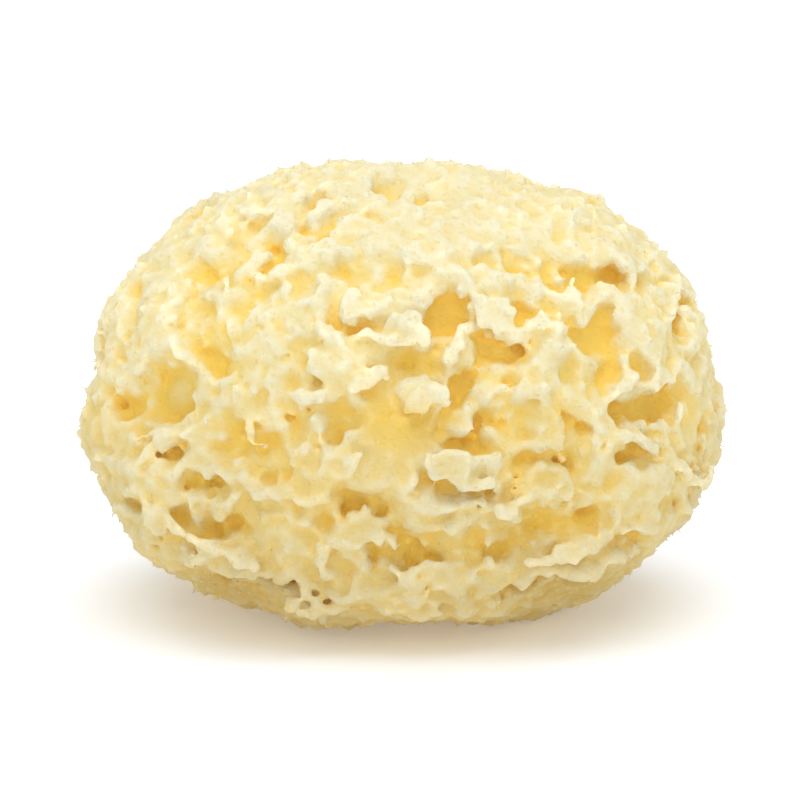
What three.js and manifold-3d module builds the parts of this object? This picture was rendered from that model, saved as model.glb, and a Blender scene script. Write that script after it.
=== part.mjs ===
// A bath sponge: the dried skeleton of one sea sponge, grown as one piece and cut flat where it
// sat on the rock. Millimetres, +Z up. The cut face lies on z = 0, the broad front faces -Y,
// and the long way across is X.
import * as THREE from "three";
import { mergeVertices } from "three/addons/utils/BufferGeometryUtils.js";
import Module from "manifold-3d";

// Driving dimensions of the whole body.
const HALF_WIDTH = 67.3;
const HALF_DEPTH = 55.5;
const WAIST_HEIGHT = 39; // of the widest section, above the cut
const CROWN_RISE = 57; // from the waist to the top
const KEEL_DROP = 41.2; // from the waist to where the body would end below, had it not been cut
const SQUARENESS = 2.4; // 2 is an ellipsoid, and more is boxier

// How finely the surface is divided.
const BODY_DETAIL = 9; // splits of each edge of the icosahedron that becomes the body
const HOLLOW_SEGMENTS = [8, 5]; // round each hollow, and from its mouth to its floor
const SMOOTHED = 0.6; // how far a merged facet may stray from the small facets it stands for

// A hollow's centre lies this share of its depth below the skin, so its middle is wider than its rim.
const SUNK = 0.42;

// Directions are a turn round from the front towards +X and a lift up from the waist, in degrees.
// Lobes swell or sink the skin: turn, lift, spread in degrees, and rise.
const lobe = (turn, lift, spread, rise) => ({ turn, lift, spread, rise });
const MIDDLE_LOBES = [
  lobe(14, 2, 7, 3.2),
  lobe(4, 6, 9, 1.6),
  lobe(-12, 20, 13, 2.2),
  lobe(22, 12, 7, 1.8),
  lobe(24, 33, 9, 1.6),
  lobe(-24, 48, 14, 1.4),
  lobe(6, 54, 12, 1.6),
  lobe(-8, -12, 12, 1.8),
  lobe(14, -27, 14, 2.6),
  lobe(-14, -30, 12, 1.4),
  lobe(-30, 72, 10, 2.2),
  lobe(40, 74, 11, 2.6),
  lobe(150, 35, 16, 2.4),
  lobe(-160, 20, 14, 2.6),
  lobe(178, -8, 14, 2.2),
  lobe(120, 10, 12, 2.4),
  lobe(-118, -4, 13, 2.6),
  lobe(170, 62, 13, 1.8),
];
const PAIRED_LOBES = [
  lobe(88, 1, 8, 3.0),
  lobe(52, -3, 8, 2.6),
  lobe(47, 15, 6, 2.0),
  lobe(68, 9, 9, 1.4),
  lobe(76, 27, 10, 2.0),
  lobe(62, 52, 10, 2.0),
  lobe(38, 27, 7, 1.6),
  lobe(40, -17, 9, 2.4),
  lobe(78, -22, 12, -2.0),
  lobe(64, -34, 12, -1.4),
];

// Hollows open through the skin: turn, lift, width, height, depth, and a lean in degrees, which
// tips the right-hand end of the opening down.
const hollow = (turn, lift, wide, tall, deep, lean = 0) => ({ turn, lift, wide, tall, deep, lean });
const MIDDLE_HOLLOWS = [
  hollow(-5, 68, 8, 8, 8),
  hollow(16, 62, 12, 7, 6),
  hollow(-34, 60, 8, 7, 6),
  hollow(-16, 51, 10, 9, 6),
  hollow(-31, 41, 13, 8, 6, -8),
  hollow(27, 43, 20, 12, 9, -6),
  hollow(-15, 31, 15, 7, 8, -4),
  hollow(10, 28, 9, 11, 9, -12),
  hollow(4, 20, 13, 7, 9, -6),
  hollow(-3, 13, 9, 13, 9, 14),
  hollow(20, 20, 16, 9, 8, -32),
  hollow(-17, 7, 15, 8, 7, 6),
  hollow(14, -6, 9, 7, 8),
  hollow(4, -6, 9, 6, 7, -28),
  hollow(-19, -7, 9, 7, 6),
  hollow(-19, -17, 9, 7, 8, 6),
  hollow(5, -17, 12, 8, 7, 6),
  hollow(-8, -24, 13, 7, 6),
];
const PAIRED_HOLLOWS = [
  hollow(50, 10, 20, 10, 13, 4),
  hollow(49, 0, 13, 7, 9, -12),
  hollow(41, 22, 10, 15, 10, 12),
  hollow(50, 37, 9, 8, 8),
  hollow(35, 33, 12, 9, 6),
  hollow(64, 20, 9, 8, 7),
  hollow(26, 10, 9, 8, 7),
  hollow(26, -1, 11, 9, 9, 20),
  hollow(36, 5, 8, 13, 9, 8),
  hollow(34, -12, 15, 7, 8, 14),
  hollow(50, -14, 10, 8, 7),
  hollow(33, -25, 13, 7, 6),
];

// The sides and the back carry hollows on a spiral that spreads them evenly.
const SPIRAL_COUNT = 42;
const SPIRAL_CLEAR_TURN = 72; // the hollows listed above fill the front up to here
const SPIRAL_LIFTS = { low: -34, high: 78 };
const SPIRAL_WIDTHS = { least: 8, most: 15 };
const SPIRAL_LEAN = 30; // the most, either way
const GOLDEN_SHARE = (Math.sqrt(5) - 1) / 2;
const GOLDEN_TURN = 360 * GOLDEN_SHARE;

const SKIN_COLOUR = 0xf3e0a4;

const radians = THREE.MathUtils.degToRad;
const degrees = THREE.MathUtils.radToDeg;
const fraction = (value) => value - Math.floor(value);

// The direction of a turn and a lift, from the body's heart at waist height.
function towards({ turn, lift }) {
  const [around, above] = [radians(turn), radians(lift)];
  const flat = Math.cos(above);
  return new THREE.Vector3(Math.sin(around) * flat, -Math.cos(around) * flat, Math.sin(above));
}

const onBothSides = (shapes) => [
  ...shapes,
  ...shapes.map((shape) => ({ ...shape, turn: -shape.turn, lean: -(shape.lean ?? 0) })),
];

const lobes = [...MIDDLE_LOBES, ...onBothSides(PAIRED_LOBES)].map((shape) => ({
  aim: towards(shape),
  spread: radians(shape.spread),
  rise: shape.rise,
}));

// How far the skin is from the heart, in a direction.
function reach(direction) {
  const drop = direction.z > 0 ? CROWN_RISE : KEEL_DROP;
  const sum =
    Math.abs(direction.x / HALF_WIDTH) ** SQUARENESS +
    Math.abs(direction.y / HALF_DEPTH) ** SQUARENESS +
    Math.abs(direction.z / drop) ** SQUARENESS;
  let distance = sum ** (-1 / SQUARENESS);
  for (const { aim, spread, rise } of lobes) {
    distance += rise * Math.exp(-((direction.angleTo(aim) / spread) ** 2));
  }
  return distance;
}

function bodyGeometry() {
  const geometry = new THREE.IcosahedronGeometry(1, BODY_DETAIL);
  const position = geometry.getAttribute("position");
  const point = new THREE.Vector3();
  for (let i = 0; i < position.count; i++) {
    point.fromBufferAttribute(position, i).normalize();
    point.multiplyScalar(reach(point));
    position.setXYZ(i, point.x, point.y, point.z + WAIST_HEIGHT);
  }
  return geometry;
}

// An egg-shaped hollow: across the skin, into the body, and up the skin.
function hollowGeometry(shape) {
  const outward = towards(shape);
  const around = radians(shape.turn);
  const across = new THREE.Vector3(Math.cos(around), Math.sin(around), 0);
  const up = new THREE.Vector3().crossVectors(across, outward).negate();
  const set = new THREE.Matrix4().makeBasis(across, outward.clone().negate(), up);
  const centre = outward.clone().multiplyScalar(reach(outward) - SUNK * shape.deep);
  const half = 1 - SUNK; // of the depth, from the centre to the floor
  const bulge = 0.5 / Math.sqrt(1 - (SUNK / half) ** 2); // keeps the rim at the stated size
  return new THREE.SphereGeometry(1, ...HOLLOW_SEGMENTS)
    .scale(bulge * shape.wide, half * shape.deep, bulge * shape.tall)
    .rotateY(radians(shape.lean))
    .applyMatrix4(set)
    .translate(centre.x, centre.y, centre.z + WAIST_HEIGHT);
}

function spiralHollows() {
  const shapes = [];
  const low = Math.sin(radians(SPIRAL_LIFTS.low));
  const high = Math.sin(radians(SPIRAL_LIFTS.high));
  const { least, most } = SPIRAL_WIDTHS;
  for (let i = 0; i < SPIRAL_COUNT; i++) {
    const lift = degrees(Math.asin(low + ((high - low) * (i + 0.5)) / SPIRAL_COUNT));
    const turn = ((i * GOLDEN_TURN) % 360) - 180;
    const size = fraction(i * Math.SQRT2);
    const wide = least + (most - least) * size;
    const tall = wide * (0.6 + 0.4 * fraction(3 * i * GOLDEN_SHARE));
    const lean = SPIRAL_LEAN * (2 * fraction(5 * i * GOLDEN_SHARE) - 1);
    if (Math.abs(turn) > SPIRAL_CLEAR_TURN) {
      shapes.push(hollow(turn, lift, wide, tall, 5 + 0.35 * wide, lean));
    }
  }
  return shapes;
}

const wasm = await Module();
wasm.setup();

// A closed geometry as a solid that can be joined and cut.
function solid(geometry) {
  geometry.deleteAttribute("normal");
  geometry.deleteAttribute("uv");
  const merged = mergeVertices(geometry, 1e-3);
  const mesh = new wasm.Mesh({
    numProp: 3,
    vertProperties: merged.getAttribute("position").array,
    triVerts: new Uint32Array(merged.index.array),
  });
  return new wasm.Manifold(mesh);
}

function geometryOf(manifold) {
  const { vertProperties, triVerts } = manifold.getMesh();
  const geometry = new THREE.BufferGeometry();
  geometry.setAttribute("position", new THREE.BufferAttribute(vertProperties, 3));
  geometry.setIndex(new THREE.BufferAttribute(triVerts, 1));
  geometry.computeVertexNormals();
  return geometry;
}

// Hollows that meet can cut a crumb loose, and it falls away.
function largestPiece(manifold) {
  return manifold.decompose().reduce((most, piece) => (piece.volume() > most.volume() ? piece : most));
}

// The rock that the sponge grew on takes away everything below the cut.
function rockGeometry() {
  const size = 4 * HALF_WIDTH;
  return new THREE.BoxGeometry(size, size, KEEL_DROP).translate(0, 0, -KEEL_DROP / 2);
}

function spongeGeometry() {
  let body = solid(bodyGeometry());
  for (const shape of [...MIDDLE_HOLLOWS, ...onBothSides(PAIRED_HOLLOWS), ...spiralHollows()]) {
    body = body.subtract(solid(hollowGeometry(shape)));
  }
  const cut = largestPiece(body.subtract(solid(rockGeometry())).simplify(SMOOTHED));
  const geometry = geometryOf(cut);
  // The origin is on the cut face, under the middle of the body's box.
  geometry.computeBoundingBox();
  const middle = geometry.boundingBox.getCenter(new THREE.Vector3());
  return geometry.translate(-middle.x, -middle.y, 0);
}

function sponge() {
  const skin = new THREE.MeshStandardMaterial({ color: SKIN_COLOUR, roughness: 0.95, metalness: 0 });
  const mesh = new THREE.Mesh(spongeGeometry(), skin);
  mesh.name = "sponge";
  return mesh;
}

const part = new THREE.Group();
part.add(sponge());

export default part;
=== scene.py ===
"""A natural bath sponge: one grown skeleton, carved out of a block as a field of hollows, lumps and
finer relief and then skinned, with short fibres on its crests, on a plain pale floor."""

import math

import bpy
import numpy as np
from bpy.props import FloatProperty, FloatVectorProperty, IntProperty, PointerProperty
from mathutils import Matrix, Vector
from mathutils.kdtree import KDTree


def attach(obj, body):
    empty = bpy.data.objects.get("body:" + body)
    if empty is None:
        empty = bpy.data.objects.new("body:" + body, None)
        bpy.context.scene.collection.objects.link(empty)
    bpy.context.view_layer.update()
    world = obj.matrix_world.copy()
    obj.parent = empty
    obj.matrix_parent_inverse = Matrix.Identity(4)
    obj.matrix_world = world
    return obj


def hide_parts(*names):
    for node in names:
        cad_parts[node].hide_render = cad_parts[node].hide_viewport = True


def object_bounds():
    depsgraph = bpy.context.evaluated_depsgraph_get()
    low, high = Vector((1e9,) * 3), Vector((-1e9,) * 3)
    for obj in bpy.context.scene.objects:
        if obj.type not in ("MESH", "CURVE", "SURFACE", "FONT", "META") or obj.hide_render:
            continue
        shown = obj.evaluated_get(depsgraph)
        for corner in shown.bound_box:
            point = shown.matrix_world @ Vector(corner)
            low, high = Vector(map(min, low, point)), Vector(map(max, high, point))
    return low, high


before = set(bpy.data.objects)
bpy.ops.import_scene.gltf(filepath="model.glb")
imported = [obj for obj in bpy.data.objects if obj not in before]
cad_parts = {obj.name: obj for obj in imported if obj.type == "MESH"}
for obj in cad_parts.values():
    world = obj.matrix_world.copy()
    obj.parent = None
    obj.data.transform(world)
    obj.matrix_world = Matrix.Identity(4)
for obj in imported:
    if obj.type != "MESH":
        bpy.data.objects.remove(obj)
CAD_LOW, CAD_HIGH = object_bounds()

bl_info = {
    "name": "Natural Bath Sponge",
    "version": (1, 0, 0),
    "blender": (4, 5, 0),
    "location": "View3D > Sidebar > Sponge",
    "description": "Carves a natural bath sponge out of a field of hollows and dresses it in fibre",
    "category": "Add Mesh",
}

# The carving works in millimetres.
MM = 0.001

# The body's driving dimensions, as shares of the frame's box.
SPAN = (np.array(CAD_HIGH) - np.array(CAD_LOW)) / MM
HALF_WIDTH = 0.48 * SPAN[0]
HALF_DEPTH = 0.48 * SPAN[1]
WAIST_HEIGHT = 0.399 * SPAN[2]
CROWN_RISE = 0.572 * SPAN[2]
KEEL_DROP = 0.421 * SPAN[2]
SQUARENESS = 2.4
HEART = np.array((0.0, 0.0, WAIST_HEIGHT))
MARGIN = 5.0  # of empty block kept round the body
DEEPEST = 6.5  # under the smooth skin that any hollow may go

# Relief, from coarse to fine, as rows of depth and of the size over which it changes. The bends
# shift the block's own coordinates, so that what is carved by them comes out irregular.
BENDS = [(0.9, 10.0), (0.9, 4.5), (0.45, 2.2)]
SWELLS = [(0.8, 14.0), (0.3, 7.0)]
RIPPLES = [(0.12, 4.5)]
WRINKLES = [(0.16, 2.8)]
GRAIN = [(0.18, 1.6)]
NOISE_GAIN = 3.0  # makes up for what the smoothing takes off

# Rounding of the edges that carving and growing leave, and how far bending may move a shape.
HOLLOW_EDGE = 2.8
LUMP_EDGE = 0.9
RIDGE_EDGE = 1.0
PIT_EDGE = 0.9
CRUMB_EDGE = 0.9
BEND_ROOM = 3.0
PLAIN_ROOM = 0.5  # for a shape that isn't bent
DENT_REACH = 2.2  # in halves, past which a dent is too shallow to matter
DENT_ROOM = 2.0

# Half of a hollow's opening and half of its depth, as shares of the sizes in its row.
HALF_OPENING = 0.6
HALF_DEEP = 0.5
# How far a lump's plate reaches under the skin.
LUMP_ROOT = 1.0

SCATTER_TRIES = 60000  # surface points tried when small shapes are scattered

# A direction is a turn round from the front towards +X and a lift up from the waist, in degrees.
# Lobes swell or sink the skin: turn, lift, spread in degrees, rise in millimetres.
MIDDLE_LOBES = [
    (14, 2, 7, 3.2),
    (4, 6, 9, 1.6),
    (-12, 20, 13, 2.2),
    (22, 12, 7, 1.8),
    (24, 33, 9, 1.6),
    (-24, 48, 14, 1.4),
    (6, 54, 12, 1.6),
    (-8, -12, 12, 1.8),
    (14, -27, 14, 2.6),
    (-14, -30, 12, 1.4),
    (-30, 72, 10, 2.2),
    (40, 74, 11, 2.6),
    (150, 35, 16, 2.4),
    (-160, 20, 14, 2.6),
    (178, -8, 14, 2.2),
    (120, 10, 12, 2.4),
    (-118, -4, 13, 2.6),
    (170, 62, 13, 1.8),
]
PAIRED_LOBES = [
    (88, 1, 8, 3.0),
    (52, -3, 8, 2.6),
    (47, 15, 6, 2.0),
    (68, 9, 9, 1.4),
    (76, 27, 10, 2.0),
    (62, 52, 10, 2.0),
    (38, 27, 7, 1.6),
    (40, -17, 9, 2.4),
    (78, -22, 12, -2.0),
    (64, -34, 12, -1.4),
    (44, -30, 12, -2.0),
    (100, 49, 6, 3.2),
    (112, 65, 10, 1.2),
]

# The front's hollows: turn, lift, width, height, depth, and lean in degrees, which tips the
# right-hand end of the opening down.
MIDDLE_HOLLOWS = [
    (-5, 68, 6, 9, 7, 0),
    (5, 64, 4, 5, 4, 0),
    (22, 62, 6, 6, 3, 0),
    (-34, 60, 4, 4, 4, 0),
    (-16, 51, 8, 8, 3, 0),
    (-9, 46, 5, 5, 5, 0),
    (-18, 41, 7, 4, 5, 0),
    (-23, 37, 5, 4, 4, 0),
    (-10, 40, 7, 5, 4, 0),
    (-3, 42, 6, 3, 4, 0),
    (4, 41, 3, 3, 3, 0),
    (-31, 40, 9, 4, 3, 0),
    (-40, 43, 12, 6, 3, 0),
    (-33, 33, 9, 7, 4, 0),
    (-16, 31, 6, 5, 6, 0),
    (-9, 30, 11, 3, 5, -4),
    (-23, 23, 3, 3, 3, 0),
    (-21, 26, 5, 3, 4, 0),
    (27, 43, 20, 11, 8, -6),
    (41, 43, 9, 8, 6, 0),
    (26, 35, 5, 3, 4, 40),
    (10, 28, 6.5, 9, 8, -10),
    (15, 27, 6, 6, 3, 0),
    (5, 22, 10, 4, 8, -6),
    (22, 23, 9, 5, 6, -32),
    (2, 23, 8, 3.5, 6, 4),
    (-4, 17, 7, 5, 4, -30),
    (16, 21, 9, 7, 4, -20),
    (10, 15, 2.5, 5, 5, 30),
    (-14, 8, 11, 3, 3, -6),
    (-24, 2, 9, 10, 4, 10),
    (8, -1, 4, 5, 4, 40),
    (12, -3, 5, 3, 3, 0),
    (23, 1, 9, 3.5, 6, -14),
    (-18, -13, 3, 2.5, 5, 0),
    (-15, -10, 2.5, 2, 3, 0),
    (6, -14, 9, 5, 4, 20),
    (14, -17, 8, 3.5, 3, 0),
    (20, -12, 10, 2.5, 3, -10),
    (-5, -18, 7, 2.5, 3, 0),
    (18, 8, 7, 4.5, 3, -30),
    (23, 12, 4, 5, 4, -20),
    (-25, 12, 5, 6, 4, 0),
    (-10, -5, 9, 4, 3, -20),
    (-3, -6, 2.5, 3, 3, 0),
    (-10, 13, 5, 3, 2, 0),
    (-12, -19, 5, 2.5, 2, 0),
    (2, -24, 3.5, 2, 2, 0),
    (12, 7, 4, 3.5, 3, 0),
    (-20, 18, 6, 2, 2, 0),
    (-20, 22, 3, 3, 3, 0),
]
PAIRED_HOLLOWS = [
    (49, 36, 11, 6, 9, 0),
    (43, 36, 6, 4.5, 8, -20),
    (41, 22, 10, 14, 10, 12),
    (33, 32, 8, 6, 4, 0),
    (63, 21, 7, 3, 5, 0),
    (50, 17, 4, 5, 7, 15),
    (64, 16, 5, 3, 5, 0),
    (67, 30, 6, 3, 5, 0),
    (50, 10, 21, 7, 13, 4),
    (37, 18, 3, 3, 4, 0),
    (50, 4, 11, 4, 8, -10),
    (46, 3, 4, 3, 6, 0),
    (34, 8, 6, 5, 6, 0),
    (35, 3, 7, 8, 8, 0),
    (39, -4, 5, 3, 4, 0),
    (35, -11, 13, 4.5, 8, 14),
    (48, -13, 7, 5, 5, 0),
    (34, -23, 16, 4, 6, 6),
    (54, -8, 6, 3, 4, 0),
]

# Lumps stand out of the skin: turn, lift, width, height, rise, and lean in degrees.
MIDDLE_LUMPS = [
    (4, 16, 12, 8, 3.8, 10),
    (11, 2, 14, 6, 4.5, 22),
    (5, -6, 22, 4, 3.5, 8),
    (-12, 3, 12, 9, 2.8, -10),
    (0, -25, 46, 10, 3.0, 0),
    (22, 14, 9, 5, 1.5, 0),
    (-10, 20, 16, 9, 1.2, 0),
    (11, 25, 12, 5, 1.5, -10),
    (-20, 15, 8, 4, 1.2, 0),
    (10, -9, 14, 5, 1.5, 10),
    (-6, -10, 6, 7, 1.2, 0),
    (6, -18, 12, 4, 1.5, 0),
    (-5, 27, 18, 6, 1.2, 0),
]
PAIRED_LUMPS = [
    (25, -4, 18, 3.5, 2.2, -6),
    (34, -15, 18, 4.5, 2.5, -8),
]

# Patches of painted shade and painted highlight on the fibre's colour: turn, lift, half width, half height,
# and how golden the painted shade is (below 0, how bleached, a painted highlight).
MIDDLE_PAINTED_SHADE_HIGHLIGHT = [
    (0, 10, 8, 5, 1.8),
    (-11, -4, 8, 5, 0.6),
    (2, 23, 4.5, 2.5, 0.8),
    (-3, 17, 4.5, 3.5, 0.5),
    (16, 21, 6, 4, 0.6),
    (18, 6, 6, 4, 0.3),
    (14, -14, 7, 3, 0.4),
    (6, -13, 5, 3, 0.4),
    (11, 3, 6, 3, -1.0),
    (4, 17, 5, 3, -0.6),
    (4, -5, 9, 2, -0.5),
    (0, 60, 60, 30, -0.6),
]
PAIRED_PAINTED_SHADE_HIGHLIGHT = [
    (23, 2, 6, 6, 0.5),
    (32, -9, 8, 3, 0.6),
    (32, 8, 4, 7, 0.6),
    (66, 4, 9, 5, 0.5),
    (48, 36, 6, 4, 1.0),
    (41, 22, 5, 7, 0.6),
]
# Painted shade below the lower lip of both flanks: turn, lift, half width, half height, and how dark.
PAIRED_SHADES = [(42, -27, 15, 7, 0.45)]
# Painted shade also darkens the colours towards the bottom, from SHADE_TOP down, with SHADE_AT_BASE as its
# share at the floor.
SHADE_TOP = 0.7 * SPAN[2]  # the height from which the colours deepen downwards
SHADE_AT_BASE = 0.7
# How shut in a vertex is, is felt over these distances in millimetres; it sets the painted shade in creases
# and hollows.
CLOSENESS = (("crease", 1.2), ("hollow_painted_shade", 3.2))

# Ridges and strands stand on the skin: turns and lifts of their points, thickness, and how far
# clear of the skin they stand.
MIDDLE_RIDGES = [
    ([(7, 32), (6, 28), (9, 24), (13, 26)], 1.8, 0.3),
]
PAIRED_RIDGES = [
    ([(34, 15), (31, 10), (28, 5)], 2.2, -1.0),
    ([(31, 6), (33, 2), (34, -3)], 1.2, -1.6),
    ([(45, 39), (44, 37), (41, 33)], 1.3, -1.2),
    ([(46, -17), (36, -19), (26, -22)], 4.0, 0.8),
    ([(62, -10), (49, -11), (37, -14)], 3.6, 0.6),
    ([(70, -4), (55, -1), (43, 6)], 3.2, 0.6),
]

# Round the sides and the back, hollows follow a spiral that spreads them evenly.
SPIRAL_COUNT = 150
SPIRAL_LIFTS = (-38, 84)
SPIRAL_WIDTHS = (5, 16)
SPIRAL_LEAN = 30
# Up to this turn and this lift the front's own hollows take its place.
SPIRAL_CLEAR_TURN = 70
SPIRAL_CLEAR_LIFT = 72
GOLDEN_SHARE = (math.sqrt(5) - 1) / 2

# The tufts: how shut in a crest may be at most, the lowest place in millimetres, how much a tuft
# and its fibres lean, how much a fibre bends, how deep it is rooted in millimetres, and its taper.
CREST_LIMIT = 0.34
TUFT_FLOOR = 2.0
TUFT_LEAN = 0.55
FIBRE_LEAN = 0.35
FIBRE_BEND = 0.4
FIBRE_ROOT = 0.3
FIBRE_TAPER = np.array((1.7, 1.0, 0.2))

# The stage: the floor's half side in metres, the suns' tilts forward from straight above and their
# spread in degrees, and the view's width and the aim's height as shares of the frame's box.
FLOOR_HALF_SIDE = 6.0
OVERHEAD_TILT = 12
FRONT_TILT = 62
SUN_SPREAD = 60
VIEW_WIDTH = 1.234
AIM_HEIGHT = 0.455
AIM_ASIDE = -0.0005  # metres

PIECE_NODE = "sponge"
PIECE_BODY = "root"
MATERIAL_SLOT = "sponge_fibre"
ATTRIBUTES = ("crease", "hollow_painted_shade", "deep", "painted_shade_and_highlight", "shade")


# ---------------------------------------------------------------------------------------------
# The carving
# ---------------------------------------------------------------------------------------------


def towards(turn, lift):
    """The direction of a turn and a lift, from the heart."""
    around, above = math.radians(turn), math.radians(lift)
    flat = math.cos(above)
    return np.array((math.sin(around) * flat, -math.cos(around) * flat, math.sin(above)))


def mirrored(rows):
    """The rows and their mirror images on the other side, which also lean the other way."""
    return rows + [(-row[0], *row[1:5], *(-lean for lean in row[5:])) for row in rows]


LOBES = MIDDLE_LOBES + [row for t, *rest in PAIRED_LOBES for row in ((t, *rest), (-t, *rest))]


def reach(directions):
    """How far the skin is from the heart in each direction, in millimetres."""
    x, y, z = directions
    drop = np.where(z > 0, CROWN_RISE, KEEL_DROP)
    total = sum(np.abs(part) ** SQUARENESS for part in (x / HALF_WIDTH, y / HALF_DEPTH, z / drop))
    distance = total ** (-1 / SQUARENESS)
    for turn, lift, spread, rise in LOBES:
        ax, ay, az = towards(turn, lift)
        angle = np.arccos(np.clip(ax * x + ay * y + az * z, -1, 1))
        distance = distance + rise * np.exp(-((angle / math.radians(spread)) ** 2))
    return distance


def on_skin(turn, lift, clear=0.0):
    """The point of the skin in a direction, or one that far clear of it."""
    direction = towards(turn, lift)
    return HEART + direction * (float(reach(direction)) + clear)


def spline_weights(count, spacing):
    """The matrix that spreads coarse values, spacing steps apart, smoothly over count fine steps."""
    at = np.arange(count) / spacing
    first = at.astype(int)
    t = at - first
    weights = (
        (1 - t) ** 3 / 6,
        (3 * t**3 - 6 * t**2 + 4) / 6,
        (-3 * t**3 + 3 * t**2 + 3 * t + 1) / 6,
        t**3 / 6,
    )
    matrix = np.zeros((count, first[-1] + 4), np.float32)
    for k, weight in enumerate(weights):
        matrix[np.arange(count), first + k] = weight
    return matrix


def spaced(places, order, spacing):
    """Of places taken in that order, those no nearer to an earlier one than spacing."""
    taken = {}
    kept = []
    near = [(i, j, k) for i in (-1, 0, 1) for j in (-1, 0, 1) for k in (-1, 0, 1)]
    cells = np.floor(places[order] / spacing).astype(int).tolist()
    for n, cell, place in zip(order.tolist(), map(tuple, cells), places[order].tolist()):
        if cell in taken:
            continue
        for i, j, k in near:
            other = taken.get((cell[0] + i, cell[1] + j, cell[2] + k))
            if other and math.dist(other, place) < spacing:
                break
        else:
            taken[cell] = place
            kept.append(n)
    return np.array(kept)


class Block:
    """The block that the sponge is carved from. Its field is in millimetres, above 0 in the
    skeleton and below 0 outside."""

    def __init__(self, step, seed):
        self.step = step
        self.seed = seed
        self.draws = 0
        half = SPAN[:2] / 2 + MARGIN
        self.low = np.array((-half[0], -half[1], -2 * step))
        high = np.array((half[0], half[1], SPAN[2] + MARGIN))
        self.shape = tuple(np.ceil((high - self.low) / step).astype(int) + 1)
        self.lines = [self.low[i] + step * np.arange(n) for i, n in enumerate(self.shape)]
        self.depth = self.spread(self.skin_depth, 3.0)
        self.field = self.depth.copy()
        self.bend_grid()

    def random(self):
        """A fresh source of random numbers, so that a change in one stage leaves the others alone."""
        self.draws += 1
        return np.random.default_rng((self.seed, self.draws))

    def spread(self, values_at, size):
        """Fine values from coarse ones that are size millimetres apart."""
        spacing = size / self.step
        matrices = [spline_weights(n, spacing) for n in self.shape]
        coarse = values_at([m.shape[1] for m in matrices], size)
        for matrix in matrices:
            coarse = np.tensordot(coarse, matrix, axes=(0, 1))
        return coarse

    def skin_depth(self, counts, size):
        """How deep under the smooth skin each coarse point lies."""
        lines = [self.low[i] + size * (np.arange(n) - 1) for i, n in enumerate(counts)]
        offset = np.stack(np.meshgrid(*lines, indexing="ij")) - HEART[:, None, None, None]
        distance = np.linalg.norm(offset, axis=0) + 1e-6
        return (reach(offset / distance) - distance).astype(np.float32)

    def noise(self, size):
        """Smooth random values with a spread of 1 that change over about size millimetres."""
        random = self.random()

        def coarse(counts, _):
            return NOISE_GAIN * random.standard_normal(counts).astype(np.float32)

        return self.spread(coarse, size)

    def relief(self, layers):
        """The sum of noise in layers of depth and size."""
        return sum(deep * self.noise(size) for deep, size in layers)

    def bend_grid(self):
        """Bends the grid's coordinates, so that what is carved by them comes out irregular."""
        self.bent = []
        for i, line in enumerate(self.lines):
            shape = [1, 1, 1]
            shape[i] = -1
            self.bent.append(self.relief(BENDS) + line.reshape(shape).astype(np.float32))

    def part(self, low, high):
        """The slices of the grid between two corners."""
        first = np.maximum(np.floor((low - self.low) / self.step).astype(int), 0)
        last = np.minimum(np.ceil((high - self.low) / self.step).astype(int) + 1, self.shape)
        return tuple(slice(a, b) for a, b in zip(first, last))

    def anchored(self, place):
        """Where a place comes to lie in the bent coordinates."""
        grid = np.clip(np.rint((place - self.low) / self.step).astype(int), 0, np.array(self.shape) - 1)
        shift = [self.bent[i][tuple(grid)] - self.lines[i][grid[i]] for i in range(3)]
        return place + shift

    def offsets(self, part, centre, bent):
        """Each point's offset from a centre along x, y and z."""
        if bent:
            return [self.bent[i][part] - centre[i] for i in range(3)]
        lines = [(self.lines[i][part[i]] - centre[i]).astype(np.float32) for i in range(3)]
        return [lines[0].reshape(-1, 1, 1), lines[1].reshape(1, -1, 1), lines[2].reshape(1, 1, -1)]

    def egg(self, centre, axes, halves, edge, bent=True):
        """An egg's part of the grid, and how far outside the egg each point lies."""
        room = max(halves) + edge + (BEND_ROOM if bent else PLAIN_ROOM)
        part = self.part(centre - room, centre + room)
        centre = self.anchored(centre) if bent else centre
        total = squared_reach(self.offsets(part, centre, bent), axes, halves)
        return part, (np.sqrt(total) - 1) * min(halves)

    def carve(self, centre, axes, halves, edge):
        part, outside = self.egg(centre, axes, halves, edge)
        self.field[part] = blended(self.field[part], outside, edge)

    def grow(self, centre, axes, halves, edge, bent=True):
        part, outside = self.egg(centre, axes, halves, edge, bent)
        self.field[part] = -blended(-self.field[part], outside, edge)

    def rod(self, start, end, radius, edge):
        """Grows a round rod between two points."""
        room = radius + edge + BEND_ROOM
        part = self.part(np.minimum(start, end) - room, np.maximum(start, end) + room)
        start, end = self.anchored(start), self.anchored(end)
        x, y, z = self.offsets(part, start, True)
        along = end - start
        t = np.clip((x * along[0] + y * along[1] + z * along[2]) / float(along @ along), 0, 1)
        gap = np.sqrt((x - t * along[0]) ** 2 + (y - t * along[1]) ** 2 + (z - t * along[2]) ** 2)
        self.field[part] = -blended(-self.field[part], gap - radius, edge)

    def dent(self, centre, axes, halves, deep):
        """Sinks the surface softly, with no rim."""
        room = DENT_REACH * max(halves) + DENT_ROOM
        part = self.part(centre - room, centre + room)
        total = squared_reach(self.offsets(part, self.anchored(centre), True), axes, halves)
        self.field[part] -= deep * np.exp(-total)

    def close(self):
        """Empties the block's border, so that the surface is shut."""
        for axis in range(3):
            for side in (0, -1):
                border = [slice(None)] * 3
                border[axis] = side
                self.field[tuple(border)] = -1.0

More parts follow.
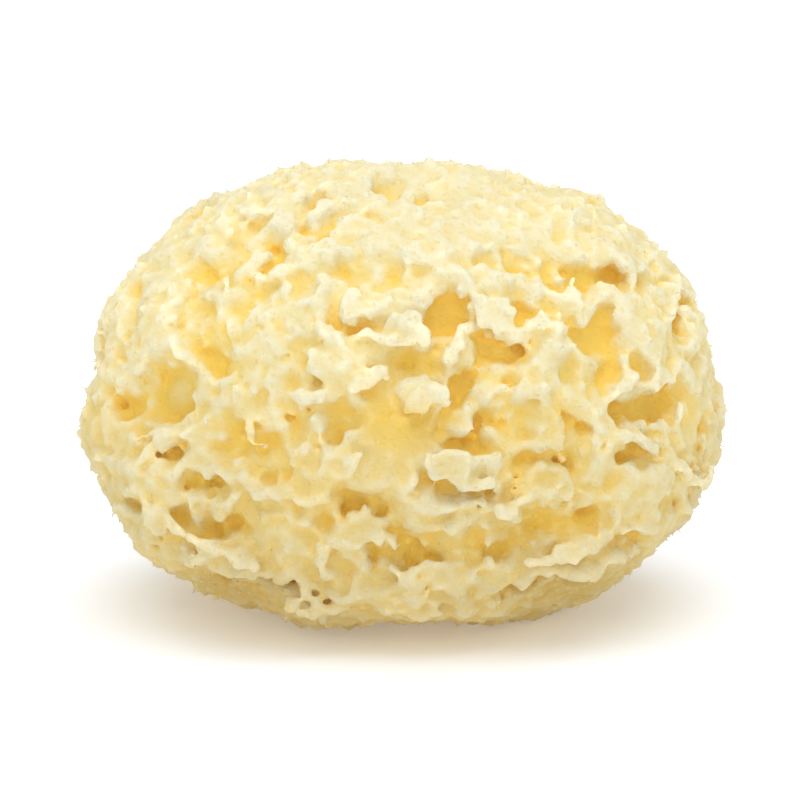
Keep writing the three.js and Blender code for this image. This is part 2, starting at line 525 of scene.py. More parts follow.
    def surface(self, random):
        """The grid points just inside the surface, shuffled, and their places."""
        inside = self.field > 0
        core = inside[1:-1, 1:-1, 1:-1].copy()
        for axis in range(3):
            for shift in (0, 2):
                window = [slice(1, -1)] * 3
                window[axis] = slice(shift, inside.shape[axis] - 2 + shift)
                core &= inside[tuple(window)]
        inside[1:-1, 1:-1, 1:-1] &= ~core
        index = random.permutation(np.flatnonzero(inside))
        grid = np.stack(np.unravel_index(index, self.shape), axis=1)
        return grid, self.low + self.step * grid

    def outward(self, grid, span=2):
        """The direction out of the skeleton at grid points."""
        slopes = []
        for axis in range(3):
            ahead, behind = grid.copy(), grid.copy()
            ahead[:, axis] = np.minimum(grid[:, axis] + span, self.shape[axis] - 1)
            behind[:, axis] = np.maximum(grid[:, axis] - span, 0)
            slopes.append(self.field[tuple(behind.T)] - self.field[tuple(ahead.T)])
        slopes = np.stack(slopes, axis=1)
        return slopes / (np.linalg.norm(slopes, axis=1, keepdims=True) + 1e-6)

    def scatter(self, random, spacing):
        """Points of the surface no nearer to each other than spacing, with the way out at each."""
        grid, places = self.surface(random)
        grid, places = grid[:SCATTER_TRIES], places[:SCATTER_TRIES]
        kept = spaced(places, np.arange(len(places)), spacing)
        return places[kept], self.outward(grid[kept])


def squared_reach(offsets, axes, halves):
    """0 at an egg's centre, 1 on its surface and more outside."""
    x, y, z = offsets
    total = 0.0
    for axis, half in zip(axes, halves):
        total = total + ((axis[0] * x + axis[1] * y + axis[2] * z) / half) ** 2
    return total


def blended(a, b, edge):
    """The lower of two fields, with the edge where they meet rounded over that many millimetres."""
    share = np.clip(0.5 + 0.5 * (b - a) / edge, 0, 1)
    return b + (a - b) * share - edge * share * (1 - share)


def axes_about(outward, lean=0.0):
    """Axes across the skin, into it and up it, leaning in the skin's plane."""
    across = np.cross((0.0, 0.0, 1.0), -outward)
    size = np.linalg.norm(across)
    across = across / size if size > 1e-3 else np.array((1.0, 0.0, 0.0))
    up = np.cross(across, -outward)
    c, s = math.cos(lean), math.sin(lean)
    return across * c - up * s, -outward, up * c + across * s


def spiral_hollows():
    """Hollows for the sides and the back, as rows like the front's."""
    low, high = (math.sin(math.radians(lift)) for lift in SPIRAL_LIFTS)
    least, most = SPIRAL_WIDTHS
    for i in range(SPIRAL_COUNT):
        lift = math.degrees(math.asin(low + (high - low) * (i + 0.5) / SPIRAL_COUNT))
        turn = (i * 360 * GOLDEN_SHARE) % 360 - 180
        size = ((i * math.sqrt(2)) % 1) ** 1.6
        wide = least + (most - least) * size
        tall = wide * (0.45 + 0.5 * ((3 * i * GOLDEN_SHARE) % 1))
        deep = 4 + 0.5 * wide
        lean = 2 * SPIRAL_LEAN * ((5 * i * GOLDEN_SHARE) % 1) - SPIRAL_LEAN
        if abs(turn) > SPIRAL_CLEAR_TURN or lift > SPIRAL_CLEAR_LIFT:
            yield turn, lift, wide, tall, deep, lean


def carve_hollows(block):
    """The large hollows, each centred on the skin."""
    for turn, lift, wide, tall, deep, lean in (
        MIDDLE_HOLLOWS + mirrored(PAIRED_HOLLOWS) + list(spiral_hollows())
    ):
        outward, centre = towards(turn, lift), on_skin(turn, lift)
        halves = (HALF_OPENING * wide, HALF_DEEP * deep, HALF_OPENING * tall)
        block.carve(centre, axes_about(outward, math.radians(lean)), halves, HOLLOW_EDGE)


def grow_lumps(block):
    """Plates that stand out of the skin, over the hollows about them."""
    for turn, lift, wide, tall, rise, lean in MIDDLE_LUMPS + mirrored(PAIRED_LUMPS):
        centre = on_skin(turn, lift, rise / 2 - LUMP_ROOT)
        axes = axes_about(towards(turn, lift), math.radians(lean))
        block.grow(centre, axes, (wide / 2, rise / 2 + LUMP_ROOT, tall / 2), LUMP_EDGE)


def tinted(rows, places):
    """The sum of soft patches at places: turn, lift, half width, half height, strength."""
    total = np.zeros(len(places))
    for turn, lift, wide, tall, strength in rows:
        offset = places - on_skin(turn, lift)
        across, into, up = axes_about(towards(turn, lift))
        gap = (offset @ across / wide) ** 2 + (offset @ up / tall) ** 2
        gap += (offset @ into / (wide + tall)) ** 2
        total += strength * np.exp(-gap)
    return total


def grow_ridges(block):
    paired = [
        ([(side * turn, lift) for turn, lift in points], *rest)
        for points, *rest in PAIRED_RIDGES
        for side in (1, -1)
    ]
    for points, thick, clear in MIDDLE_RIDGES + paired:
        places = [on_skin(turn, lift, clear - thick / 4) for turn, lift in points]
        for start, end in zip(places, places[1:]):
            block.rod(start, end, thick / 2, RIDGE_EDGE)


def carve_pits(block, spacing, least, most, flat):
    """Small pits all over what the surface is by now. Flat is their depth as a share of their size."""
    random = block.random()
    places, outwards = block.scatter(random, spacing)
    for place, outward in zip(places, outwards):
        size = least + (most - least) * random.random() ** 1.5
        halves = size * random.uniform(0.65, 1.35, 3)
        halves[1] *= flat
        centre = place - outward * halves[1] * random.uniform(0.0, 0.5)
        block.carve(centre, axes_about(outward, random.uniform(0, math.pi)), halves, PIT_EDGE)


def sink_dents(block, spacing, least, most, deep):
    """Soft dents all over. Deep is their depth as a share of their size."""
    random = block.random()
    places, outwards = block.scatter(random, spacing)
    for place, outward in zip(places, outwards):
        size = least + (most - least) * random.random()
        halves = size * random.uniform(0.7, 1.4, 3)
        halves[1] = 1.5 * size
        axes = axes_about(outward, random.uniform(0, math.pi))
        block.dent(place, axes, halves, deep * size * random.uniform(0.5, 1.4))


def grow_crumbs(block, spacing, least, most):
    """Small lumps that make the crests crumbly."""
    random = block.random()
    places, outwards = block.scatter(random, spacing)
    for place, outward in zip(places, outwards):
        halves = random.uniform(least, most) * random.uniform(0.6, 1.4, 3)
        centre = place + outward * random.uniform(-0.5, 0.4) * halves[1]
        axes = axes_about(outward, random.uniform(0, math.pi))
        block.grow(centre, axes, halves, CRUMB_EDGE, bent=False)


def carved_block(step, seed):
    """The whole skeleton, from the large hollows down to the grain. Sizes are in millimetres."""
    block = Block(step, seed)
    block.field += block.relief(SWELLS)
    carve_hollows(block)
    grow_lumps(block)
    grow_ridges(block)
    base = block.lines[2].astype(np.float32)[None, None, :]
    block.field = np.minimum(block.field, base)
    block.field += block.relief(RIPPLES)
    sink_dents(block, spacing=5.0, least=1.5, most=2.4, deep=0.45)
    block.field += block.relief(WRINKLES)
    carve_pits(block, spacing=5.5, least=0.6, most=1.2, flat=0.4)
    grow_crumbs(block, spacing=2.4, least=0.5, most=1.1)
    block.field += block.relief(GRAIN)
    block.field = np.maximum(block.field, block.depth - DEEPEST)
    block.field = np.minimum(block.field, base)
    block.close()
    return block


# ---------------------------------------------------------------------------------------------
# The skin
# ---------------------------------------------------------------------------------------------


def skinned(block):
    """The surface where the field is 0, as places and quads: one vertex in each cell that the
    surface crosses, at the middle of its crossings."""
    field = block.field
    inside = field > 0
    strides = np.array((field.shape[1] * field.shape[2], field.shape[2], 1))
    crossings = []
    for axis in range(3):
        ahead = [slice(None)] * 3
        behind = [slice(None)] * 3
        ahead[axis], behind[axis] = slice(1, None), slice(None, -1)
        here, there = field[tuple(behind)], field[tuple(ahead)]
        changed = inside[tuple(behind)] != inside[tuple(ahead)]
        grid = np.stack(np.nonzero(changed), axis=1)
        start, end = here[changed], there[changed]
        place = grid.astype(np.float64)
        place[:, axis] += start / (start - end)
        around = [strides[(axis + 1) % 3], strides[(axis + 2) % 3]]
        corner = grid @ strides
        cells = np.stack(
            [corner - around[0] - around[1], corner - around[1], corner, corner - around[0]], axis=1
        )
        cells[start < 0] = cells[start < 0][:, ::-1]
        crossings.append((cells, place))
    cells = np.concatenate([c for c, _ in crossings])
    places = np.concatenate([p for _, p in crossings])
    used = np.zeros(field.size, bool)
    used[cells.ravel()] = True
    number = np.cumsum(used, dtype=np.int32) - 1
    quads = number[cells]
    count = int(number[-1]) + 1
    hits = np.bincount(quads.ravel(), minlength=count)
    vertices = np.stack(
        [np.bincount(quads.ravel(), np.repeat(places[:, i], 4), count) / hits for i in range(3)], axis=1
    )
    return block.low + block.step * vertices, quads


def largest_piece(vertices, quads):
    """Drops the crumbs that hang on nothing, and the bubbles inside."""
    label = np.arange(len(vertices))
    first = quads[:, [0, 1, 2, 3]].ravel()
    second = quads[:, [1, 2, 3, 0]].ravel()
    while True:
        lowest = np.minimum(label[first], label[second])
        before = label.copy()
        np.minimum.at(label, label[first], lowest)
        np.minimum.at(label, label[second], lowest)
        label = label[label]
        label = label[label]
        if np.array_equal(before, label):
            break
    main = np.bincount(label).argmax()
    kept = label == main
    number = np.cumsum(kept) - 1
    return vertices[kept], number[quads[kept[quads[:, 0]]]]


def mesh_of(name, vertices, faces, smooth=True):
    """A Blender mesh in metres, from places in millimetres."""
    mesh = bpy.data.meshes.new(name)
    sides = faces.shape[1]
    mesh.vertices.add(len(vertices))
    mesh.vertices.foreach_set("co", (vertices * MM).astype(np.float32).ravel())
    mesh.loops.add(faces.size)
    mesh.loops.foreach_set("vertex_index", faces.astype(np.int32).ravel())
    mesh.polygons.add(len(faces))
    mesh.polygons.foreach_set("loop_start", np.arange(0, faces.size, sides, dtype=np.int32))
    mesh.polygons.foreach_set("use_smooth", np.full(len(faces), smooth))
    mesh.update(calc_edges=True)
    return mesh


def places_of(mesh):
    places = np.empty(3 * len(mesh.vertices), np.float32)
    mesh.vertices.foreach_get("co", places)
    return places.reshape(-1, 3) / MM


def shown(name, mesh):
    thing = bpy.data.objects.new(name, mesh)
    bpy.context.scene.collection.objects.link(thing)
    return thing


def thinned(piece, triangles):
    """The piece with its mesh reduced to that many triangles."""
    count = sum(len(p.vertices) - 2 for p in piece.data.polygons)
    modifier = piece.modifiers.new("Thin", "DECIMATE")
    modifier.ratio = min(1.0, triangles / count)
    evaluated = piece.evaluated_get(bpy.context.evaluated_depsgraph_get())
    mesh = bpy.data.meshes.new_from_object(evaluated)
    piece.modifiers.clear()
    old = piece.data
    piece.data = mesh
    bpy.data.meshes.remove(old)
    mesh.polygons.foreach_set("use_smooth", np.ones(len(mesh.polygons), bool))
    return mesh


def blurred(values, radius):
    """Box-blurred twice along each axis, which is close to a round blur."""
    for axis in range(3):
        edges = [(0, 0)] * 3
        edges[axis] = (radius + 1, radius)
        for _ in range(2):
            padded = np.cumsum(np.pad(values, edges, "edge"), axis=axis, dtype=np.float32)
            ahead = [slice(None)] * 3
            behind = [slice(None)] * 3
            ahead[axis] = slice(2 * radius + 1, None)
            behind[axis] = slice(None, -2 * radius - 1)
            values = (padded[tuple(ahead)] - padded[tuple(behind)]) / (2 * radius + 1)
    return values


def sampled(values, low, step, places):
    """Values of a grid at places between its points."""
    at = (places - low) / step
    at = np.clip(at, 0, np.array(values.shape) - 1.001)
    first = at.astype(int)
    t = at - first
    result = 0.0
    for i in (0, 1):
        for j in (0, 1):
            for k in (0, 1):
                share = 1.0
                for axis, side in enumerate((i, j, k)):
                    share = share * (t[:, axis] if side else 1 - t[:, axis])
                result = result + share * values[first[:, 0] + i, first[:, 1] + j, first[:, 2] + k]
    return result


def set_attribute(mesh, name, values):
    attribute = mesh.attributes.new(name, "FLOAT", "POINT")
    attribute.data.foreach_set("value", values.astype(np.float32))


def mark_hollows(mesh, block):
    """Stores how shut in each vertex is, nearby and further off, and how deep it lies, which set the
    painted shade in creases and hollows, and the patches of painted shade and highlight and the painted
    shade towards the bottom and on the flanks."""
    places = places_of(mesh)
    solid = (block.field > 0).astype(np.float32)
    even = [n - n % 2 for n in solid.shape]
    solid = solid[: even[0], : even[1], : even[2]]
    coarse = solid.reshape(even[0] // 2, 2, even[1] // 2, 2, even[2] // 2, 2).mean(axis=(1, 3, 5))
    low = block.low + block.step / 2
    step = 2 * block.step
    for name, size in CLOSENESS:
        radius = max(1, round(size / step))
        set_attribute(mesh, name, sampled(blurred(coarse, radius), low, step, places))
    set_attribute(mesh, "deep", sampled(block.depth, block.low, block.step, places))
    # Painted shade and painted highlight in the listed patches.
    set_attribute(mesh, "painted_shade_and_highlight", tinted(MIDDLE_PAINTED_SHADE_HIGHLIGHT + mirrored(PAIRED_PAINTED_SHADE_HIGHLIGHT), places))
    # Painted shade: darker towards the bottom and on the flanks.
    low = np.clip(1 - places[:, 2] / SHADE_TOP, 0, 1)
    set_attribute(mesh, "shade", SHADE_AT_BASE * low + tinted(mirrored(PAIRED_SHADES), places))


# ---------------------------------------------------------------------------------------------
# The fibre
# ---------------------------------------------------------------------------------------------


def strands(lines, radii, sides=3):
    """Thin tubes with shut ends along many lines at once: lines as (strand, point, xyz), radii as
    (strand, point). Returns their places and triangles."""
    count, points, _ = lines.shape
    along = unit(np.gradient(lines, axis=1))
    askew = (0.31, 0.52, 0.79)  # along no fibre
    first = unit(np.cross(along, askew))
    second = np.cross(along, first)
    angle = np.arange(sides) * 2 * math.pi / sides
    ring = first[:, :, None] * np.cos(angle)[:, None] + second[:, :, None] * np.sin(angle)[:, None]
    places = (lines[:, :, None] + radii[:, :, None, None] * ring).reshape(-1, 3)
    here = np.arange(sides)
    there = (here + 1) % sides
    walls = np.concatenate(
        [
            np.stack([here, there, there + sides], axis=1),
            np.stack([here, there + sides, here + sides], axis=1),
        ]
    )
    walls = (walls + (np.arange(points - 1) * sides)[:, None, None]).reshape(-1, 3)
    fan = np.array([(0, i + 1, i) for i in range(1, sides - 1)])
    faces = np.concatenate([walls, fan, fan[:, ::-1] + (points - 1) * sides])
    return places, (faces + (np.arange(count) * points * sides)[:, None, None]).reshape(-1, 3)


def normals_of(mesh):
    normals = np.empty(3 * len(mesh.vertices), np.float32)
    mesh.vertices.foreach_get("normal", normals)
    return normals.reshape(-1, 3)


def attribute_of(mesh, name):
    values = np.empty(len(mesh.vertices), np.float32)
    mesh.attributes[name].data.foreach_get("value", values)
    return values


def unit(vectors):
    return vectors / (np.linalg.norm(vectors, axis=-1, keepdims=True) + 1e-9)


def tuft_lines(mesh, settings):
    """Tapered fibres in small tufts that stand on the crests, and the vertex that each grows from."""
    random = np.random.default_rng(settings.seed)
    places, normals = places_of(mesh), normals_of(mesh)
    crest = attribute_of(mesh, "crease") < CREST_LIMIT
    chosen = np.flatnonzero(crest & (places[:, 2] > TUFT_FLOOR))
    sites = spaced(places, random.permutation(chosen), settings.spacing / MM)
    tree = KDTree(len(places))
    for n, place in enumerate(places.tolist()):
        tree.insert(place, n)
    tree.balance()
    roots, leans = [], []
    for site in sites:
        lean = normals[site] + TUFT_LEAN * random.standard_normal(3)
        for _, n, _ in tree.find_n(places[site].tolist(), settings.fibres):
            roots.append(n)
            leans.append(lean)
    roots = np.array(roots)
    lean = unit(unit(np.array(leans)) + FIBRE_LEAN * random.standard_normal((len(roots), 3)))
    length = settings.length / MM * (0.35 + 0.65 * random.random(len(roots)) ** 2)
    bend = FIBRE_BEND * length[:, None] * random.standard_normal((len(roots), 3))
    t = np.linspace(0, 1, len(FIBRE_TAPER))[None, :, None]
    start = places[roots] - FIBRE_ROOT * normals[roots]
    lines = start[:, None] + lean[:, None] * length[:, None, None] * t + bend[:, None] * t**2
    radius = settings.thickness / MM / 2 * random.uniform(0.7, 1.3, len(roots))
    radii = radius[:, None] * FIBRE_TAPER
    return lines, radii, roots


# ---------------------------------------------------------------------------------------------
# Settings
# ---------------------------------------------------------------------------------------------


class SpongeBodySettings(bpy.types.PropertyGroup):
    """The carving."""

    step: FloatProperty(
        name="Carving step",
        description="Distance between the points of the block that the body is carved from",
        default=0.00055,
        unit="LENGTH",
        subtype="DISTANCE",
        min=0.0004,
    )
    seed: IntProperty(name="Seed", description="Which of the possible sponges grows", default=7, min=0)
    triangles: IntProperty(
        name="Triangles", description="How many triangles the body keeps", default=196000, min=20000
    )


class SpongeTuftSettings(bpy.types.PropertyGroup):
    """The fibre tufts."""

    spacing: FloatProperty(
        name="Spacing",
        description="Least distance between two tufts",
        default=0.0024,
        unit="LENGTH",
        subtype="DISTANCE",
    )
    length: FloatProperty(
        name="Length", description="Longest fibre", default=0.0011, unit="LENGTH", subtype="DISTANCE"
    )
    thickness: FloatProperty(
        name="Thickness",
        description="Middle thickness of a fibre",
        default=0.00028,
        unit="LENGTH",
        subtype="DISTANCE",
    )
    fibres: IntProperty(name="Fibres", description="How many fibres a tuft has", default=3, min=1)
    seed: IntProperty(name="Seed", description="Which of the possible tufts grow", default=3, min=0)


class SpongeFinishSettings(bpy.types.PropertyGroup):
    """The fibre's colours and surface."""

    # Crest and skin: the colour turns from crest to skin the more shut in the fibre is, painted shade in
    # creases.
    crest: FloatVectorProperty(
        name="Crests",
        description="Colour of the pale crests",
        subtype="COLOR",
        default=(0.96, 0.90, 0.63),
    )
    skin: FloatVectorProperty(
        name="Skin",
        description="Colour between crests and hollows",
        subtype="COLOR",
        default=(0.93, 0.77, 0.35),
    )
    # Painted shade: the golden colour of light bounced in the hollows, also painted in patches and pores.
    hollow_painted_shade: FloatVectorProperty(
        name="Hollows",
        description="Colour deep in the hollows",
        subtype="COLOR",
        default=(0.98, 0.69, 0.14),
    )
    # Painted shade: the colours are multiplied by this towards the bottom and on the flanks.
    painted_shade_colour: FloatVectorProperty(
        name="Underside",
        description="What the colours are multiplied by where they are darkest",
        subtype="COLOR",
        default=(0.66, 0.56, 0.36),
    )
    roughness: FloatProperty(
        name="Roughness", description="How matt the fibre is", subtype="FACTOR", default=0.9, min=0, max=1
    )
    glow: FloatProperty(
        name="Glow depth",
        description="How far light spreads inside the fibre",
        default=0.002,
        unit="LENGTH",
        subtype="DISTANCE",
    )


class SpongeStageSettings(bpy.types.PropertyGroup):
    """The floor, the light and the camera."""

    floor: FloatVectorProperty(
        name="Floor", description="Colour of the floor", subtype="COLOR", default=(0.93, 0.955, 0.99)
    )
    surround: FloatProperty(
        name="Surround", description="Strength of the light all round", default=0.62, min=0
    )
    backdrop: FloatProperty(
        name="Backdrop",
        description="Brightness of what is seen behind the floor's far edge",
        default=1.05,
        min=0,
    )
    surround_tint: FloatVectorProperty(
        name="Surround tint",
        description="Colour of the light all round",
        subtype="COLOR",
        default=(0.98, 0.985, 1.0),
    )
    overhead: FloatProperty(
        name="Overhead light", description="Strength of the light above", default=1.34, min=0
    )
    front: FloatProperty(
        name="Front light", description="Strength of the light in front", default=0.5, min=0
    )
    glow: FloatProperty(
        name="Floor glow", description="Strength of the light in the floor", default=0.18, min=0
    )
    light_tint: FloatVectorProperty(
        name="Light tint",
        description="Colour of the two lights",
        subtype="COLOR",
        default=(0.97, 0.975, 1.0),
    )
    lens: FloatProperty(name="Lens", description="Focal length in millimetres", default=120.0, min=20)
    lift: FloatProperty(
        name="Camera lift",
        description="How far above level the camera looks from",
        default=math.radians(10),
        subtype="ANGLE",
    )


# ---------------------------------------------------------------------------------------------
# Materials
# ---------------------------------------------------------------------------------------------


class Finish:
    """A node material that is wired up in reading order."""

    def __init__(self, name):
        self.material = bpy.data.materials.new(name)
        self.material.use_nodes = True
        self.nodes = self.material.node_tree.nodes
        self.links = self.material.node_tree.links
        self.shader = self.nodes["Principled BSDF"]

    def node(self, kind, inputs=(), **settings):
        made = self.nodes.new(kind)
        for key, value in settings.items():
            setattr(made, key, value)
        for key, value in dict(inputs).items():
            self.feed(made.inputs[key], value)
        return made

    def feed(self, socket, value):
        if isinstance(value, bpy.types.NodeSocket):
            self.links.new(value, socket)
        else:
            socket.default_value = value

    def attribute(self, name):
        return self.node("ShaderNodeAttribute", attribute_name=name).outputs["Fac"]

    def noise(self, scale, detail=2.0, roughness=0.5):
        place = self.node("ShaderNodeTexCoord").outputs["Object"]
        inputs = {"Vector": place, "Scale": scale, "Detail": detail, "Roughness": roughness}
        return self.node("ShaderNodeTexNoise", inputs).outputs["Fac"]

    def pores(self, scale, bend):
        """0 in scattered small pores with ragged outlines, and 1 between them."""
        place = self.node("ShaderNodeTexCoord").outputs["Object"]
        shift = self.node("ShaderNodeTexNoise", {"Vector": place, "Scale": 1.3 * scale}).outputs["Color"]
        inputs = {0: shift, 1: (bend, bend, bend), 2: place}
        bent = self.node("ShaderNodeVectorMath", inputs, operation="MULTIPLY_ADD").outputs[0]
        cells = self.node("ShaderNodeTexVoronoi", {"Vector": bent, "Scale": scale})
        return self.ranged(cells.outputs["Distance"], 0.1, 0.42)

    def ranged(self, value, low, high, to_low=0.0, to_high=1.0):
        inputs = {"Value": value, "From Min": low, "From Max": high, "To Min": to_low, "To Max": to_high}
        return self.node("ShaderNodeMapRange", inputs).outputs["Result"]

    def sum(self, a, b, operation="ADD"):
        return self.node("ShaderNodeMath", {0: a, 1: b}, operation=operation).outputs[0]

    def mixed(self, share, a, b, kind="MIX"):
        node = self.nodes.new("ShaderNodeMix")
        node.data_type = "RGBA"
        node.blend_type = kind
        self.feed(node.inputs["Factor"], share)
        self.feed(node.inputs[6], a)
        self.feed(node.inputs[7], b)
        return node.outputs[2]


def fibre_material(settings, soft=0.75):
    """The fibre, from cream crests to golden hollows in painted shade, darker towards the bottom in painted
    shade, and soft inside by that much.
    """
    finish = Finish(MATERIAL_SLOT)
    crest, skin, hollow_painted_shade = ((*colour, 1.0) for colour in (settings.crest, settings.skin, settings.hollow_painted_shade))
    # Painted shade: how shut in and how deep the fibre lies turns it golden in the hollows, standing in for
    # light bounced there.
    shut_in = finish.ranged(finish.attribute("hollow_painted_shade"), 0.42, 0.70)
    # Painted shade in creases: the crest colour turns to the skin colour the more shut in the fibre is.
    crease = finish.ranged(finish.attribute("crease"), 0.29, 0.56)
    deep = finish.ranged(finish.attribute("deep"), -1.0, 5.0)
    # Painted shade and highlight patches: golden where positive, bleached where negative.
    painted_shade_highlight_patch = finish.attribute("painted_shade_and_highlight")
    crease = finish.ranged(finish.sum(crease, finish.sum(painted_shade_highlight_patch, 0.5, "MULTIPLY")), 0.0, 1.0)
    colour = finish.mixed(crease, crest, skin)
    painted_shade_and_highlight = finish.sum(finish.sum(shut_in, deep, "MULTIPLY"), 1.5, "MULTIPLY")
    painted_shade_and_highlight = finish.sum(painted_shade_and_highlight, finish.sum(painted_shade_highlight_patch, 0.5, "MULTIPLY"))
    colour = finish.mixed(finish.ranged(painted_shade_and_highlight, 0.0, 1.0), colour, hollow_painted_shade)
    # Painted shade: darker towards the bottom and on the flanks below their lower lip.
    shade = finish.ranged(finish.attribute("shade"), 0.0, 1.0)
    colour = finish.mixed(shade, colour, (*settings.painted_shade_colour, 1.0), "MULTIPLY")
    # Painted shade in the small pores, which are only bumps.
    pores = finish.pores(620.0, 0.0009)
    colour = finish.mixed(finish.ranged(pores, 0.0, 1.0, 0.35, 0.0), colour, hollow_painted_shade)
    patch = finish.ranged(finish.noise(90.0, 3.0), 0.3, 0.7, 0.94, 1.04)
    colour = finish.mixed(1.0, colour, patch, "MULTIPLY")
    shader = finish.shader
    finish.feed(shader.inputs["Base Color"], colour)
    finish.feed(shader.inputs["Roughness"], settings.roughness)
    finish.feed(shader.inputs["Specular IOR Level"], 0.2)
    shader.subsurface_method = "BURLEY"
    finish.feed(shader.inputs["Subsurface Weight"], soft)
    finish.feed(shader.inputs["Subsurface Radius"], (1.0, 1.0, 1.0))
    finish.feed(shader.inputs["Subsurface Scale"], settings.glow)
    felt = finish.sum(finish.noise(600.0, 5.0, 0.65), finish.sum(pores, 0.25, "MULTIPLY"))
    bump = finish.node("ShaderNodeBump", {"Height": felt, "Strength": 0.8, "Distance": 0.0014})
    finish.feed(shader.inputs["Normal"], bump.outputs["Normal"])
    return finish.material


def floor_material(settings):
    finish = Finish("floor_paint")
    finish.feed(finish.shader.inputs["Base Color"], (*settings.floor, 1.0))
    finish.feed(finish.shader.inputs["Roughness"], 0.9)
    finish.feed(finish.shader.inputs["Specular IOR Level"], 0.1)
    finish.feed(finish.shader.inputs["Emission Color"], (1.0, 1.0, 1.0, 1.0))
    finish.feed(finish.shader.inputs["Emission Strength"], settings.glow)
    return finish.material


# ---------------------------------------------------------------------------------------------
# Operators
# ---------------------------------------------------------------------------------------------


class SPONGE_OT_body(bpy.types.Operator):
    """Carve and skin the sponge's body"""

    bl_idname = "sponge.body"
    bl_label = "Make body"

    def execute(self, context):
        settings = context.scene.sponge_body
        block = carved_block(settings.step / MM, settings.seed)
        vertices, quads = largest_piece(*skinned(block))
        vertices[:, 2] = np.maximum(vertices[:, 2], 0.0)
        piece = shown("sponge_body", mesh_of("sponge_body", vertices, quads))
        mesh = thinned(piece, settings.triangles)
        mark_hollows(mesh, block)
        mesh.materials.append(fibre_material(context.scene.sponge_finish))
        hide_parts(PIECE_NODE)
        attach(piece, PIECE_BODY)
        return {"FINISHED"}


class SPONGE_OT_tufts(bpy.types.Operator):
    """Grow the fine fibres that stand on the body's crests"""

    bl_idname = "sponge.tufts"
    bl_label = "Grow tufts"

    def execute(self, context):
        body = bpy.data.objects["sponge_body"].data
        lines, radii, roots = tuft_lines(body, context.scene.sponge_tufts)
        places, faces = strands(lines, radii)
        mesh = mesh_of("sponge_tufts", places, faces, smooth=False)
        for name in ATTRIBUTES:
            set_attribute(mesh, name, np.repeat(attribute_of(body, name)[roots], len(places) // len(roots)))
        mesh.materials.append(fibre_material(context.scene.sponge_finish, 0.0))
        piece = shown("sponge_tufts", mesh)
        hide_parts(PIECE_NODE)
        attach(piece, PIECE_BODY)
        return {"FINISHED"}


class SPONGE_OT_stage(bpy.types.Operator):
    """Lay the floor, hang the lights and place the camera"""

    bl_idname = "sponge.stage"
    bl_label = "Make stage"

    def execute(self, context):
        settings = context.scene.sponge_stage
        lay_floor(settings)
        hang_lights(context.scene, settings)
        place_camera(context.scene, settings)
        return {"FINISHED"}


def lay_floor(settings):
    side = FLOOR_HALF_SIDE
    corners = [(-side, -side, 0), (side, -side, 0), (side, side, 0), (-side, side, 0)]
    mesh = bpy.data.meshes.new("floor")
    mesh.from_pydata(corners, [], [(0, 1, 2, 3)])
    mesh.materials.append(floor_material(settings))
    shown("floor", mesh)


def soft_sun(name, strength, colour, tilt):
    """A sun with soft shadows, tilted by that many degrees forward from straight above."""
    light = bpy.data.lights.new(name, "SUN")
    light.energy = strength
    light.color = colour
    light.angle = math.radians(SUN_SPREAD)
    lamp = shown(name, light)
    lamp.rotation_euler = (math.radians(tilt), 0.0, 0.0)


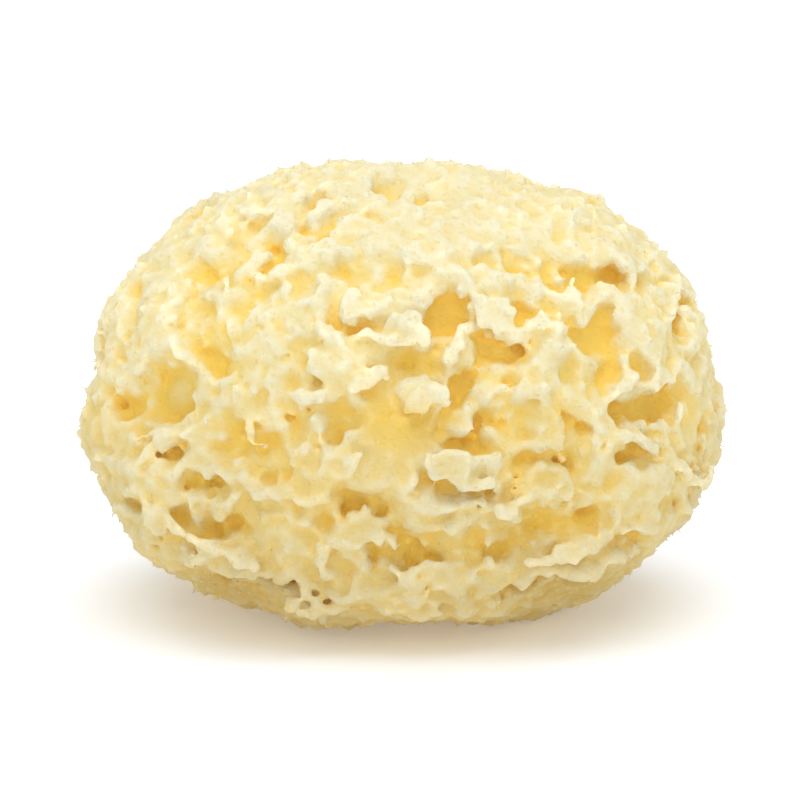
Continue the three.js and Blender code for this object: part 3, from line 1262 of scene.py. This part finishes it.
def hang_lights(scene, settings):
    world = bpy.data.worlds.new("surround")
    world.use_nodes = True
    nodes, links = world.node_tree.nodes, world.node_tree.links
    background = nodes["Background"]
    background.inputs["Color"].default_value = (*settings.surround_tint, 1.0)
    strength = nodes.new("ShaderNodeMapRange")
    strength.inputs["To Min"].default_value = settings.surround
    strength.inputs["To Max"].default_value = settings.backdrop
    links.new(nodes.new("ShaderNodeLightPath").outputs["Is Camera Ray"], strength.inputs["Value"])
    links.new(strength.outputs["Result"], background.inputs["Strength"])
    scene.world = world
    soft_sun("overhead", settings.overhead, settings.light_tint, OVERHEAD_TILT)
    soft_sun("front", settings.front, settings.light_tint, FRONT_TILT)
    scene.cycles.diffuse_bounces = 10
    scene.view_settings.view_transform = "Standard"


def place_camera(scene, settings):
    camera = bpy.data.cameras.new("camera")
    camera.lens = settings.lens
    seen = VIEW_WIDTH * (CAD_HIGH[0] - CAD_LOW[0])
    distance = seen * settings.lens / camera.sensor_width
    aim = Vector((AIM_ASIDE, 0.0, AIM_HEIGHT * (CAD_HIGH[2] - CAD_LOW[2])))
    away = Vector((0.0, -math.cos(settings.lift), math.sin(settings.lift)))
    holder = shown("camera", camera)
    holder.location = aim + distance * away
    holder.rotation_euler = (-away).to_track_quat("-Z", "Y").to_euler()
    scene.camera = holder


class VIEW3D_PT_sponge(bpy.types.Panel):
    """The sponge's settings and steps"""

    bl_label = "Bath Sponge"
    bl_space_type = "VIEW_3D"
    bl_region_type = "UI"
    bl_category = "Sponge"

    def draw(self, context):
        layout = self.layout
        for name, operators in STEPS:
            settings = getattr(context.scene, name)
            box = layout.box()
            for key in settings.__annotations__:
                box.prop(settings, key)
            for operator in operators:
                box.operator(operator)


STEPS = [
    ("sponge_body", ["sponge.body"]),
    ("sponge_tufts", ["sponge.tufts"]),
    ("sponge_finish", []),
    ("sponge_stage", ["sponge.stage"]),
]
SETTINGS = {
    "sponge_body": SpongeBodySettings,
    "sponge_tufts": SpongeTuftSettings,
    "sponge_finish": SpongeFinishSettings,
    "sponge_stage": SpongeStageSettings,
}
CLASSES = [*SETTINGS.values(), SPONGE_OT_body, SPONGE_OT_tufts, SPONGE_OT_stage, VIEW3D_PT_sponge]


def register():
    for cls in CLASSES:
        bpy.utils.register_class(cls)
    for name, settings in SETTINGS.items():
        setattr(bpy.types.Scene, name, PointerProperty(type=settings))


def unregister():
    for name in SETTINGS:
        delattr(bpy.types.Scene, name)
    for cls in reversed(CLASSES):
        bpy.utils.unregister_class(cls)


def main():
    register()
    bpy.ops.sponge.body()
    bpy.ops.sponge.tufts()
    bpy.ops.sponge.stage()
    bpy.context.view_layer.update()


if __name__ == "__main__":
    main()
